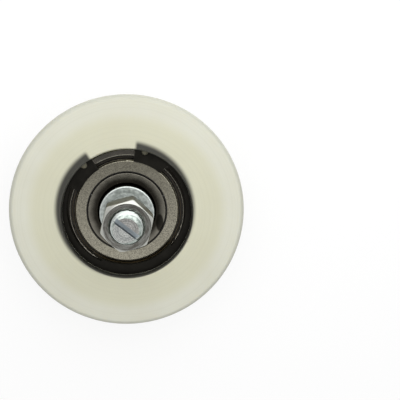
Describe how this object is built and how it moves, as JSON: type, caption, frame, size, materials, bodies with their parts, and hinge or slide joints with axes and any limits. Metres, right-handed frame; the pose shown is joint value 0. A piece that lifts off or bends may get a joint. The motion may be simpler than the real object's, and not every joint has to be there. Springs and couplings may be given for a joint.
{
  "type": "grooved gate wheel",
  "caption": "Nylon wheel with a square rail groove, turning on a shielded ball bearing held by a retaining ring, with a turned steel axle and nut.",
  "frame": {"origin": "centre of the wheel's back face, which it lies on", "axes": "+Z along the axle toward its threaded end"},
  "size_m": [0.072, 0.072, 0.0372],
  "materials": {
    "nylon": "turned, milky",
    "black_spring_steel": "black oxide",
    "bearing_steel": "ground",
    "ball_steel": "polished",
    "cage_steel": "pressed",
    "shield_steel": "pressed, satin",
    "zinc_plated_steel": "zinc plated",
    "nut_steel": "plated"
  },
  "bodies": {
    "axle": {"axle": "zinc_plated_steel", "bearing_inner_ring": "bearing_steel"},
    "wheel": {"wheel_body": "nylon", "retaining_ring": "black_spring_steel", "bearing_outer_ring": "bearing_steel", "shield_front": "shield_steel", "shield_back": "shield_steel"},
    "cage": {"cage_front_half": "cage_steel", "cage_back_half": "cage_steel", "cage_rivets": "cage_steel"},
    "ball_1": {"ball_1": "ball_steel"},
    "ball_2": {"ball_2": "ball_steel"},
    "ball_3": {"ball_3": "ball_steel"},
    "ball_4": {"ball_4": "ball_steel"},
    "ball_5": {"ball_5": "ball_steel"},
    "ball_6": {"ball_6": "ball_steel"},
    "ball_7": {"ball_7": "ball_steel"},
    "ball_8": {"ball_8": "ball_steel"},
    "nut": {"hex_nut": "nut_steel"}
  },
  "joints": [
    {"name": "wheel_spin", "type": "hinge", "parent": "axle", "child": "wheel", "pos_m": [0, 0, 0.0095], "axis": [0, 0, 1], "continuous": true},
    {"name": "cage_spin", "type": "hinge", "parent": "axle", "child": "cage", "pos_m": [0, 0, 0.0085], "axis": [0, 0, 1], "continuous": true},
    {"name": "ball_1_spin", "type": "hinge", "parent": "cage", "child": "ball_1", "pos_m": [0.01425, 0, 0.0085], "axis": [0, 0, 1], "continuous": true},
    {"name": "ball_2_spin", "type": "hinge", "parent": "cage", "child": "ball_2", "pos_m": [0.01008, 0.01008, 0.0085], "axis": [0, 0, 1], "continuous": true},
    {"name": "ball_3_spin", "type": "hinge", "parent": "cage", "child": "ball_3", "pos_m": [0, 0.01425, 0.0085], "axis": [0, 0, 1], "continuous": true},
    {"name": "ball_4_spin", "type": "hinge", "parent": "cage", "child": "ball_4", "pos_m": [-0.01008, 0.01008, 0.0085], "axis": [0, 0, 1], "continuous": true},
    {"name": "ball_5_spin", "type": "hinge", "parent": "cage", "child": "ball_5", "pos_m": [-0.01425, 0, 0.0085], "axis": [0, 0, 1], "continuous": true},
    {"name": "ball_6_spin", "type": "hinge", "parent": "cage", "child": "ball_6", "pos_m": [-0.01008, -0.01008, 0.0085], "axis": [0, 0, 1], "continuous": true},
    {"name": "ball_7_spin", "type": "hinge", "parent": "cage", "child": "ball_7", "pos_m": [0, -0.01425, 0.0085], "axis": [0, 0, 1], "continuous": true},
    {"name": "ball_8_spin", "type": "hinge", "parent": "cage", "child": "ball_8", "pos_m": [0.01008, -0.01008, 0.0085], "axis": [0, 0, 1], "continuous": true},
    {"name": "nut_travel", "type": "slide", "parent": "axle", "child": "nut", "axis": [0, 0, 1], "range_m": [-0.0012, 0.02]}
  ],
  "couplings": [
    {"joint": "cage_spin", "follows": "wheel_spin", "ratio": 0.6184},
    {"joint": "ball_1_spin", "follows": "wheel_spin", "ratio": 1.9937},
    {"joint": "ball_2_spin", "follows": "wheel_spin", "ratio": 1.9937},
    {"joint": "ball_3_spin", "follows": "wheel_spin", "ratio": 1.9937},
    {"joint": "ball_4_spin", "follows": "wheel_spin", "ratio": 1.9937},
    {"joint": "ball_5_spin", "follows": "wheel_spin", "ratio": 1.9937},
    {"joint": "ball_6_spin", "follows": "wheel_spin", "ratio": 1.9937},
    {"joint": "ball_7_spin", "follows": "wheel_spin", "ratio": 1.9937},
    {"joint": "ball_8_spin", "follows": "wheel_spin", "ratio": 1.9937}
  ]
}
